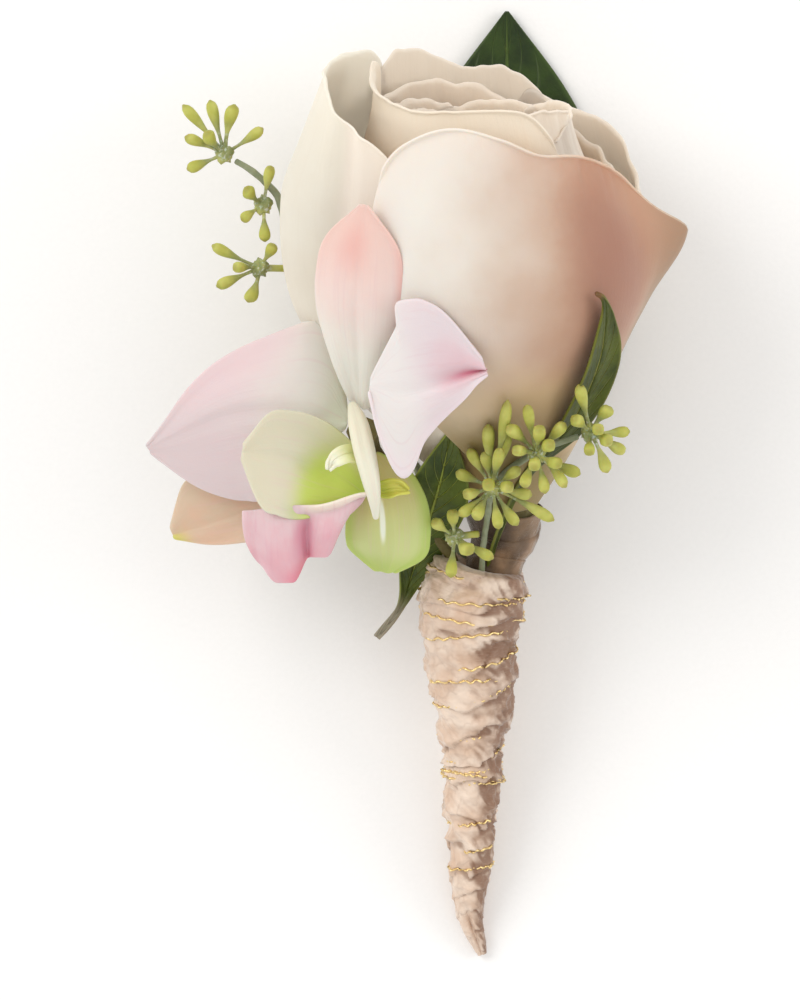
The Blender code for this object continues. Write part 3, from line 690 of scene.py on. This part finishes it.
def mid_lobe():
    """The lip's front: two rounded lobes with a pink crease between them and a rolled ridge on the right."""
    def place(across, along):
        side = across * 2 - 1  # -1 right, 1 left, as seen from the front
        left = LOBE_LEFT - 2 * along**3
        right = LOBE_RIGHT - 2.6 * along**1.6
        x = LOBE_X - (left if side > 0 else right) * side
        top = LOBE_TOP + 1.5 * ease(-side, 0.1, 1) - 0.7 * ease(side, 0.2, 1)
        bottom = LOBE_BOTTOM - 3.2 * ease(side, 0.02, 0.3) + 2.6 * ease(side, 0.62, 1)
        bottom += 5.2 * ease(-side, 0.45, 1)
        y = top + (bottom - top) * along
        z = LOBE_Z - 2.2 * along**2 + 1.1 * sin(pi * min(abs(side) * 1.2, 1)) * (0.4 + along)
        z -= 1.5 * (1 - ease(abs(side - 0.06), 0, 0.22)) * ease(along, 0.05, 0.5)
        z += 1.4 * (1 - ease(along, 0, 0.16)) * ease(-side, -0.15, 0.3)
        z += 0.35 * noise.noise(Vector((side * 2.4, along * 2.6, 1.5)))
        return Vector((x, y, z))

    return skin(place, 36, 30)


def mid_lobe_finish():
    """Pink skin with a deeper crease and tip, and a cream ridge where it leaves the throat."""
    lobe = Finish("lip_mid_lobe", Specular_IOR_Level=0.35, Subsurface_Weight=0.3, Subsurface_Scale=0.0016,
                  Subsurface_Radius=(1, 0.5, 0.5), Sheen_Weight=0.2, Sheen_Roughness=0.4)
    across, along = lobe.spread()
    cloud = lobe.grain(3, 3) - 0.5
    veins = lobe.grain(1, 2, lobe.vector(across * 30, along * 2.5))
    lobe.base((along + cloud).rise(0, 0.9), (214, 188, 192), (212, 168, 176))
    crease = across.hump(0.53, 0.16) * along.rise(0, 0.4) + cloud * 0.3
    lobe.tint(crease.rise(0, 0.9) * 0.8, (212, 156, 172))
    lobe.tint(across.hump(0.6, 0.2) * along.rise(0.72, 1) * 0.7, (212, 112, 132))
    ridge = along.rise(0.2, 0.04) * across.rise(0.62, 0.4)
    lobe.tint(ridge * 0.85, (240, 226, 210))
    lobe.tint(veins.rise(0.5, 0.72) * 0.15, (206, 130, 156))
    return lobe.done(0.42, veins, 0.06)


COLUMN_SPINE = ((-6.1, 12.2, 31.6), (-5.3, 9.8, 34.2), (-4.5, 6.4, 35.4), (-3.7, 2.8, 35.2),
                (-3.2, 0, 34), (-3, -2.4, 31.6))
COLUMN_HALVES = (0.5, 1.25, 1.4, 1.2, 0.8, 0.35)


def level_side(way):
    """The unit direction to the side of a path: level, unless the path stands nearly upright."""
    upright = abs(way.z) > 0.95
    return (way.orthogonal() if upright else way.cross(Vector((0, 0, 1)))).normalized()


def column():
    """The waxy finger over the lip, flattened, with a shallow groove down its face."""
    def place(across, along):
        turn = 2 * pi * across
        half = spread_value(COLUMN_HALVES, along)
        way = path_way(COLUMN_SPINE, along)
        beside = level_side(way)
        groove = 0.3 * (1 - ease(abs(across - 0.25), 0, 0.09)) * sin(pi * along)
        lift = beside.cross(way) * sin(turn) * (half * 0.75 - groove)
        return path_point(COLUMN_SPINE, along) + beside * cos(turn) * half + lift

    return skin(place, 20, 26, tube=True)


made = []
for seed, (name, (spine, first, second, lift, face)) in enumerate({**TEPALS, **LOBES}.items()):
    relief = right_petal_relief if name == "orchid_right_petal" else wavy(seed, 1.4, 0.7)
    petal = blade(spine, first, second, lift, face, relief)
    piece = keep(name + "_skin", petal, tepal_finish(name, *SHADES[name]), TEPAL_WALL)
    slot = "orchid_green" if name == "orchid_right_lateral_sepal" else "orchid_petal"
    made.append((piece, "orchid_lip" if name in LOBES else name, slot))
lobes = keep("lip_mid_lobe_skin", mid_lobe(), mid_lobe_finish(), TEPAL_WALL)
made.append((lobes, "orchid_lip", "orchid_petal"))
cream = tepal_finish("orchid_column", (228, 224, 202), (226, 224, 206), None)
made.append((keep("orchid_column_skin", column(), cream), "orchid_column", "orchid_cream"))
for piece, node, slot in made:
    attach(piece, "root")
    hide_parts(node)


# -------------------------------- The seeded eucalyptus
# Two sprigs of seeded eucalyptus: grey-green stems whose knots each carry a cluster of club-shaped buds on
# thin stalks. One comes out behind the rose on the left, and one lies over the stems at the right.

# Each cluster: its knot, and its buds' tips
CLUSTERS = {
    "right_buds_middle": ((11.6, 1.6, 28.2), (
        (7, 3.5, 28.5), (8.6, 6.4, 31.2), (11, 9.4, 35), (13.4, 12.4, 38.6), (13.8, 1.6, 33.8),
        (9.4, -2.5, 29.5), (14.8, -3.2, 28), (16.6, 0.6, 28.6), (11, 2, 33.4), (12.6, 6.4, 36),
        (8, 0.6, 31), (12.4, -3.6, 31), (15, 4, 32.6), (10.6, 6, 32), (19.4, -2.6, 27.4),
        (13.6, 8.4, 34.4), (7.4, -2, 28.6))),
    "right_buds_outer": ((17.1, 5.8, 32.4), (
        (15.8, 11.8, 38.4), (20.6, 9.6, 35.6), (18.2, 0.8, 33.4), (22.6, 3.2, 31.6), (16.6, 4, 37.4),
        (13.4, 9.2, 37.6), (18.8, 7, 37.8), (14.2, 6.2, 36.4), (20, 4.4, 36.2), (17.4, 9, 38.6),
        (20.8, 1.6, 34), (15.4, 1.6, 34.4))),
    "right_buds_tip": ((23.9, 8.4, 32.6), (
        (22.3, 14.4, 36.6), (26.4, 11.6, 34), (28.8, 8.6, 31.6), (28.2, 6, 29.6), (23.6, 5.8, 36.8),
        (26, 3.4, 32), (24.8, 8.8, 37.4), (21.6, 10.2, 36.8), (26.2, 7.2, 36))),
    "right_buds_low": ((6.9, -4.6, 22), (
        (6.6, -1.4, 26), (9, -6.4, 25.5), (11.8, -7.4, 23.5), (6.4, -9.8, 23.6), (4.2, -2.6, 25.4))),
    "left_buds_top": ((-22.3, 44, 17), (
        (-27.6, 50.2, 18), (-24.2, 50.9, 16), (-21, 50.2, 19), (-27.3, 46.1, 19), (-27.1, 42, 17),
        (-17.4, 47.3, 16.4), (-24.6, 46.6, 20.4))),
    "left_buds_middle": ((-17.4, 37.6, 14.6), (
        (-20.2, 35.6, 15.6), (-17.2, 32.9, 14.8), (-16.4, 42.4, 18.6), (-19.6, 39.6, 17.4))),
    "left_buds_low": ((-17.9, 29.6, 13.4), (
        (-24, 32.5, 14), (-23.4, 27.2, 14.6), (-19.4, 25.2, 13.4), (-21.2, 29.6, 16), (-16, 32.6, 15))),
}
STALKS = {"right_buds_low": (9.9, -4.3, 20.7), "left_buds_low": (-14.1, 29.6, 11.6)}
SPRIG_STEMS = {
    "right_sprig_stem": (
        ((10.4, -15.5, 15.4), (10.4, -8.3, 17.2), (11, -2.8, 21.5), (12.2, 2.2, 25.9), (17, 6, 30.2),
         (22.4, 8, 31.2)), (0.4, 0.4, 0.45, 0.42)),
    "left_sprig_stem": (
        ((8.7, -12.6, 10.8), (8.2, -8.3, 11.8), (5.4, -1.5, 9.4), (1, 6, 7.5), (-5.6, 16.1, 7.5),
         (-11.5, 25.6, 9.5), (-14.3, 33.2, 12.5), (-15.5, 38.5, 14.5), (-18.5, 41.6, 16), (-21, 43.2, 16.6)),
        (0.6, 0.6, 0.55, 0.5, 0.4)),
}
# A bud's outline: share of the way from the knot to its tip, and its radius
BUD_OUTLINE = ((0.1, 0.32), (0.28, 0.24), (0.42, 0.28), (0.55, 0.48), (0.68, 0.74), (0.8, 0.86), (0.89, 0.8),
               (0.95, 0.58), (1, 0.14))
KNOT_RADIUS = 1.1


def outward(way, turn):
    """The unit direction out of a stem that runs that way, at a turn about it."""
    beside = level_side(way)
    return beside * cos(turn) + beside.cross(way) * sin(turn)


def rod(points, radii, rows, bm=None, wobble=0):
    """A round stem along a smooth path, with a knobbly skin if it has a wobble."""
    def place(across, along):
        out = outward(path_way(points, along), 2 * pi * across)
        centre = path_point(points, along)
        return centre + out * spread_value(radii, along) * (1 + wobble * noise.noise(centre * 0.9 + out))

    return skin(place, 10, rows, tube=True, bm=bm)


def bud(bm, knot, tip, seed):
    """One bud: its outline turned about the line from the knot, which bends a little."""
    way = (tip - knot).normalized()
    length = (tip - knot).length
    beside = way.orthogonal().normalized()
    bend = beside * 0.5 * noise.noise(Vector((seed, 2.5, 0)))
    plump = 0.92 + 0.3 * noise.noise(Vector((seed * 1.7, 0, 4)))

    def place(across, along):
        share = BUD_OUTLINE[0][0] + (1 - BUD_OUTLINE[0][0]) * along
        turn = 2 * pi * across
        radius = smooth_value(BUD_OUTLINE, share) * plump
        rib = 1 + 0.07 * cos(4 * turn) * ease(share, 0.5, 0.7)
        out = (beside * cos(turn) + way.cross(beside) * sin(turn)) * radius * rib
        return knot + way * length * share + bend * sin(pi * share) + out

    skin(place, 12, 14, tube=True, bm=bm)


def cluster(name, knot, tips):
    """A crinkled knot with all its buds, and the bare stalk that ties it to its stem."""
    bm = bmesh.new()
    bm.loops.layers.uv.new("Spread")
    bmesh.ops.create_icosphere(bm, subdivisions=3, radius=KNOT_RADIUS)
    for vert in bm.verts:
        vert.co = Vector(knot) + vert.co * (1 + 0.5 * noise.noise(vert.co * 1.8))
    for i, tip in enumerate(tips):
        bud(bm, Vector(knot), Vector(tip), i + len(name))
    if name in STALKS:
        rod((knot, STALKS[name]), (0.45, 0.45), rows=6, bm=bm)
    return bm


def bud_finish():
    """Yellow-green buds with a darker tip, dusty towards the stalk and darker and greyer there: partly their
    own colour, partly painted shade deep in the cluster.
    """
    seed = Finish("eucalyptus_bud", Specular_IOR_Level=0.4, Subsurface_Weight=0.15, Subsurface_Scale=0.0008)
    across, along = seed.spread()
    cloud = seed.grain(2.2, 2)
    dust = seed.grain(0.5, 3)
    # Darker towards the stalk: partly the bud's own colour, partly painted shade deep in the cluster
    seed.base(along.rise(0.35, 0.75), (142, 150, 96), (178, 180, 82))
    seed.tint(cloud.rise(0.4, 0.7) * 0.6, (206, 206, 118))
    seed.tint(along.rise(0.9, 0.98) * 0.5, (142, 134, 62))
    seed.tint(dust.rise(0.5, 0.7) * along.rise(0.5, 0.1), (196, 206, 190))
    return seed.done(0.45 + dust * 0.25, dust * 0.6 + cloud * 0.4, 0.12)


buds = bud_finish()
for name, (knot, tips) in CLUSTERS.items():
    piece = keep(name + "_seeds", cluster(name, knot, tips), buds, levels=0)
    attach(piece, "root")
    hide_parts(name)
bark = stem_finish("eucalyptus_bark", (112, 122, 92), (160, 166, 138))
for name, (points, radii) in SPRIG_STEMS.items():
    piece = keep(name + "_bark", rod(points, radii, rows=70, wobble=0.35), bark)
    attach(piece, "root")
    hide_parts(name)


# -------------------------------- The leaves
# One broad dark leaf lies flat behind the rose; a narrow one with a dry curled tip stands at its right, and
# one more tucks in between the orchid and the rose. They are glossy, with a pale midrib and side veins.

# Each leaf: its spine, half widths, how far its edges lift, which way it faces, and its wall
LEAVES = {
    "back_leaf": (
        ((10.2, -13, 9.4), (10.2, -8.3, 10.6), (10.8, -2.5, 6), (12, 4, 0.5), (12.7, 14, 0.5),
         (13.2, 27, 0.5), (13.6, 40, 0.6), (13.8, 52, 0.8), (13.8, 63.2, 1)),
        (0.6, 0.6, 0.8, 5, 13.5, 16.5, 14, 8.4, 0.2), 0.03, (0, 0, 1), 0.7),
    "right_leaf": (
        ((11.2, -13.5, 14.6), (11.4, -8.3, 16.4), (12.6, -3.4, 20.6), (16, 3.2, 25.4), (21.4, 9.6, 29.8),
         (24.6, 16.5, 34.9), (25.5, 22, 40), (25.2, 24.8, 42.6), (24.2, 25.6, 43.2)),
        (0.5, 0.5, 0.5, 0.8, 2.8, 3.3, 1.5, 0.35, 0.15), 0.25, (0.75, -0.4, 0.7), 0.4),
    "left_leaf": (
        ((-3, -17.6, 11), (0.1, -13.6, 11.8), (1.7, -9, 12.4), (3.4, -3.5, 17.6), (5, 2, 23),
         (6.4, 8.4, 28.6)),
        (0.5, 0.55, 1.9, 3.8, 3.8, 0.5), 0.12, (0.15, 0, 1), 0.4),
}
LEAF_COLOURS = {
    "back_leaf": ((24, 42, 6), (44, 64, 14), (72, 92, 32)),
    "right_leaf": ((50, 62, 6), (84, 94, 18), (130, 130, 50)),
    "left_leaf": ((52, 68, 20), (92, 106, 36), (156, 166, 70)),
}


def leaf_finish(name, dark, light, rib):
    leaf = Finish(name, Specular_IOR_Level=0.3, Subsurface_Weight=0.05, Subsurface_Scale=0.001)
    across, along = leaf.spread()
    cloud = leaf.grain(4, 3)
    cells = leaf.grain(0.45, 3)
    off_rib = abs(across - 0.5)
    slant = along * 15 - off_rib * 5
    side_vein = slant.math("PINGPONG", slant, 0.5)
    veins = side_vein.rise(0.09, 0) * off_rib.rise(0.46, 0.3)
    midrib = off_rib.rise(0.035, 0.012)
    leaf.base(cloud.rise(0.3, 0.7), dark, light)
    leaf.tint(veins * 0.45, rib)
    leaf.tint(midrib * 0.75, rib)
    leaf.tint(off_rib.rise(0.44, 0.5) * 0.5, rib)
    if name == "right_leaf":
        leaf.tint(along.rise(0.86, 0.95), (116, 84, 50))
    if name == "left_leaf":
        leaf.tint(along.rise(0.3, 0.12), (150, 142, 122))
    relief = cells * 0.3 - veins * 0.6 - midrib
    return leaf.done(0.34 + cloud * 0.16, relief, 0.2)


def leaf_relief(seed):
    """The blade is folded a little along its midrib and waves at its edges."""
    def relief(side, along):
        wave = 0.5 * abs(side) * noise.noise(Vector((side, along * 6, seed)))
        return wave - 0.25 * (1 - ease(abs(side), 0, 0.1))

    return relief


for seed, (name, (spine, halves, lift, face, wall)) in enumerate(LEAVES.items()):
    relief = leaf_relief(seed) if name != "back_leaf" else None
    piece = keep(name + "_blade", blade(spine, halves, halves, lift, face, relief, 16, 60),
                 leaf_finish(name, *LEAF_COLOURS[name]), wall)
    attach(piece, "root")
    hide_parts(name)


# -------------------------------- The ribbon
# Narrow satin ribbon in a warm beige, wound tightly down the taped stems from the rose's hip to a twisted
# tip. Its turns overlap like scales and the cloth wrinkles between them, so each edge stands a little proud.
WRAP_SPINE = ((10.6, -58.6, 0.7), (10.1, -57.1, 1.2), (9.1, -53.7, 1.9), (9, -49, 3.2), (9, -45.1, 4.2),
              (9.1, -39.3, 5.8), (9.4, -34.1, 7.3), (9.2, -30.8, 8.3), (9.4, -24.8, 10), (8.9, -17.9, 11.8),
              (9.3, -12.8, 13), (10.4, -8.3, 14))
WRAP_RADII = (0.4, 0.8, 1.4, 2.05, 2.4, 2.8, 3.1, 3.5, 4.7, 5.5, 6.2, 5.4)
WRAP_TURNS = 15
EDGE_STEP, FOLD_DEPTH, CREASE_DEPTH = 0.55, 0.42, 0.26
TAPE_FIRMNESS = 5  # how abruptly a hollow in the cloth stops at the tape
TAIL_FOLD, TAIL_FOLD_TURN = 0.8, 1.75  # the flat fold near the tip
MOUTH = 0.955  # share of the rows below the turned-in lip


def winding(share, turn):
    """How far up its own turn of ribbon a spot lies: 0 at the free edge, 1 where the next turn covers it."""
    stray = 0.8 * noise.noise(Vector((cos(turn) * 0.8, sin(turn) * 0.8, share * 9)))
    stray += 0.3 * noise.noise(Vector((cos(turn) * 2, sin(turn) * 2, share * 30)))
    wound = share * WRAP_TURNS + turn / (2 * pi) + stray
    return wound - floor(wound)


def wrinkles(spot, out):
    """Broad folds of the cloth and sharper creases across them: each is 1 on a crest and falls below 0."""
    ridges = 1 - 2.6 * abs(noise.noise(Vector((spot.x * 0.22, spot.y * 0.42, spot.z * 0.22))))
    slanted = Vector((spot.x * 0.7 + spot.y * 0.6, spot.y * 0.4, spot.z * 0.7))
    return ridges, 1 - 2.6 * abs(noise.noise(slanted + out))


def wrap_surface(share, turn, proud=0):
    """A point on the wound ribbon, or that far proud of it."""
    out = outward(path_way(WRAP_SPINE, share), turn)
    centre = path_point(WRAP_SPINE, share)
    radius = spread_value(WRAP_RADII, share)
    edge = winding(share, turn)
    size = 0.2 + 0.8 * ease(share, 0.08, 0.42)
    step = EDGE_STEP * (1 - edge)**1.4 * ease(edge, 0, 0.05)
    ridges, creases = wrinkles(centre + out * radius, out)
    tail = (1 - ease(share, 0.16, 0.26)) * (1 - ease(abs(turn - TAIL_FOLD_TURN), 0, 0.5))
    relief = size * (step + FOLD_DEPTH * ridges + CREASE_DEPTH * creases)
    relief = log(1 + exp(TAPE_FIRMNESS * relief)) / TAPE_FIRMNESS
    radius += relief - TAIL_FOLD * tail * min(radius, 1.2) + proud
    return centre + out * max(radius, 0.2)


def wrap_tone(across, along):
    """How deep in a wrinkle, or how near under a free edge, a spot of the wound ribbon lies; the satin paints
    its shade by this.
    """
    share = min(along / MOUTH, 1)
    turn = 2 * pi * across
    out = outward(path_way(WRAP_SPINE, share), turn)
    ridges, creases = wrinkles(path_point(WRAP_SPINE, share) + out * spread_value(WRAP_RADII, share), out)
    under = ease(winding(share, turn), 0.72, 1)
    return 0.55 * under + 0.45 * (1 - ease(ridges, -0.5, 0.5)) + 0.35 * (1 - ease(creases, -0.6, 0.4))


def wound_ribbon():
    def place(across, along):
        turn = 2 * pi * across
        if along <= MOUTH:
            return wrap_surface(along / MOUTH, turn)
        inward = (along - MOUTH) / (1 - MOUTH)
        rim = wrap_surface(1, turn)
        centre = path_point(WRAP_SPINE, 1)
        way = path_way(WRAP_SPINE, 1)
        return rim.lerp(centre, 0.75 * inward) + way * (0.7 * sin(pi * inward) - 1.2 * inward)

    return skin(place, 110, 380, tube=True, tone=wrap_tone)


def ribbon_finish(name, light, mid, dark, shaded):
    """Satin: a fine weave and a silky sheen, with painted shade in fine creases, where its Tone attribute is
    high (on the handle, deep in the wrinkles and under the free edges) and at the shaded share around, the
    side turned from the light.
    """
    satin = Finish(name, Specular_IOR_Level=0.55, Sheen_Weight=0.5, Sheen_Roughness=0.3, Coat_Weight=0.12,
                   Coat_Roughness=0.4, Anisotropic=0.5)
    across, along = satin.spread()
    cloud = satin.grain(3.5, 3)
    tone = satin.node("ShaderNodeAttribute", {"attribute_name": "Tone"}, {}, "Fac")
    fold = tone + (satin.grain(1.2, 3) - 0.5) * 0.5
    rows = along * 900
    weft = rows.math("SINE", rows)
    thread = satin.grain(1, 2, satin.vector(across * 30, along * 620))
    crumple = abs(satin.grain(3.4, 3) - 0.5) * 2
    crease = crumple.rise(0.12, 0)
    satin.base(cloud.rise(0.3, 0.7), light, mid)
    # Painted shade in the handle's wrinkles and under its free edges, by the Tone attribute; on the neck the
    # Tone is random
    satin.tint(fold.rise(0.3, 1.1) * 0.7, dark)
    # Painted shade in the fine creases of the crumpled cloth
    satin.tint(crease * 0.14, dark)
    # Painted shade on the side turned from the light, deepest in the folds
    shade_and_wear = across.hump(shaded, 0.24) * (0.55 + fold * 1.6 + (cloud - 0.5) * 1.4)
    satin.tint(shade_and_wear.rise(0.05, 0.7) * 0.9, dark)
    satin.tint(thread.rise(0.5, 0.8) * 0.15, light)
    relief = thread * 0.08 + weft * 0.01 + crumple * 0.7 - fold * 0.1
    return satin.done(0.34 + cloud * 0.16, relief, 0.45)


NECK_SPINE = (rose_point(0, 3.8, 0), Vector((13.2, -4.5, 14)), Vector((12.4, -6.8, 13.6)),
              Vector((11.9, -9.6, 13.3)))
NECK_RADII = (4.6, 3.9, 3.2, 3.2)
NECK_TURNS, NECK_STEP = 2.6, 0.35


def neck_ribbon():
    """Smooth turns of the same ribbon around the hip, each lapping the one below."""
    def place(across, along):
        turn = 2 * pi * across
        out = outward(path_way(NECK_SPINE, along), turn)
        centre = path_point(NECK_SPINE, along)
        wound = along * NECK_TURNS + turn / (2 * pi)
        wound += 0.3 * noise.noise(out * 0.9 + Vector((0, 0, along)))
        edge = wound - floor(wound)
        radius = spread_value(NECK_RADII, along) + NECK_STEP * (1 - edge) * ease(edge, 0, 0.06)
        radius += 0.16 * (1 - 2 * abs(noise.noise(centre * 0.5 + out * 2.2)))
        return centre + out * radius

    def tone(across, along):
        out = Vector((cos(2 * pi * across), sin(2 * pi * across), along))
        return 0.5 + noise.noise(out * 1.6)

    return skin(place, 64, 70, tone=tone)


warm = ribbon_finish("satin_handle", (230, 210, 192), (212, 182, 158), (126, 88, 62), 0.07)
handle = keep("ribbon_wrap_satin", wound_ribbon(), warm, levels=0)
# The same satin painted darker for the neck: painted shade, as it lies in shadow under the rose
shaded_neck_satin = ribbon_finish("satin_neck_shaded", (150, 116, 84), (120, 92, 60), (74, 54, 34), 0.1)
neck = neck_ribbon()
bmesh.ops.remove_doubles(neck, verts=neck.verts, dist=WELD)  # its two sides meet
neck = keep("ribbon_neck_satin", neck, shaded_neck_satin, wall=0.3)
for piece, node in ((handle, "ribbon_wrap"), (neck, "ribbon_neck")):
    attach(piece, "root")
    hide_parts(node)
repaint("floral_tape", stem_finish("floral_tape", (84, 104, 60), (122, 138, 88)))


# -------------------------------- The wires
# Crinkled gold wire is wound over the ribbon in loose bunches, pulled tight by hand. Inside, two straight
# florist's wires of steel stiffen the stems down to the thin tip.
GOLD_RADIUS = 0.14
GOLD_ROWS = 2800
CRINKLE, CRINKLE_RATE = 0.10, 190  # how far the wire springs in and out, and how often in a turn
WANDER, JITTER, JITTER_RATE = 0.022, 0.0022, 131  # the same along the handle, as shares of its length
# Where the wire runs: turns of the wire so far, and the share of the handle's length it has reached
GOLD_RUN = ((0, 0.985), (1.1, 0.955), (2.1, 0.93), (3.1, 0.885), (4.1, 0.86), (5.1, 0.80), (6.1, 0.765),
            (7.1, 0.735), (8.1, 0.68), (9.1, 0.60), (10.1, 0.548), (11.1, 0.538), (12.1, 0.528),
            (13.1, 0.515), (14.1, 0.44), (15.1, 0.39), (16.1, 0.33), (17.1, 0.31))


def gold_path(share):
    """The wire's centre: it follows the ribbon's skin with a small crinkle, and here and there sinks in."""
    turns = GOLD_RUN[-1][0] * share
    down = smooth_value(GOLD_RUN, turns) + WANDER * noise.noise(Vector((turns * 2.6, 0, 3)))
    down += JITTER * cos(turns * JITTER_RATE)
    sunk = 0.5 * ease(noise.noise(Vector((turns * 3.4, 5, 0))), -0.12, 0.12)
    crinkle = CRINKLE * sin(turns * CRINKLE_RATE) + 0.06
    proud = GOLD_RADIUS * 0.5 + crinkle - sunk
    return wrap_surface(min(max(down, 0), 1), (turns * 2 * pi) % (2 * pi), proud)


def gold_wire():
    run = [gold_path(i / GOLD_ROWS) for i in range(GOLD_ROWS + 1)]

    def place(across, along):
        i = round(along * GOLD_ROWS)
        way = (run[min(i + 1, GOLD_ROWS)] - run[max(i - 1, 0)]).normalized()
        beside = way.orthogonal().normalized()
        turn = 2 * pi * across
        return run[i] + (beside * cos(turn) + way.cross(beside) * sin(turn)) * GOLD_RADIUS

    return skin(place, 6, GOLD_ROWS, tube=True)


def wire_finish(name, dark, light, roughness):
    wire = Finish(name, Metallic=1)
    shade_and_wear = wire.grain(0.5, 3)
    wire.base(shade_and_wear, dark, light)
    return wire.done(roughness + shade_and_wear * 0.15, shade_and_wear, 0.03)


bright = wire_finish("gold", (236, 196, 122), (255, 236, 180), 0.22)
gold = keep("gold_wire_strand", gold_wire(), bright, levels=0)
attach(gold, "root")
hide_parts("gold_wire")
steel = wire_finish("florist_wire", (120, 126, 118), (168, 172, 162), 0.35)
for node in ("florist_wire_left", "florist_wire_right"):
    repaint(node, steel)

visual_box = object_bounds()
[[list(corner) for corner in box] for box in (cad_box, visual_box)]
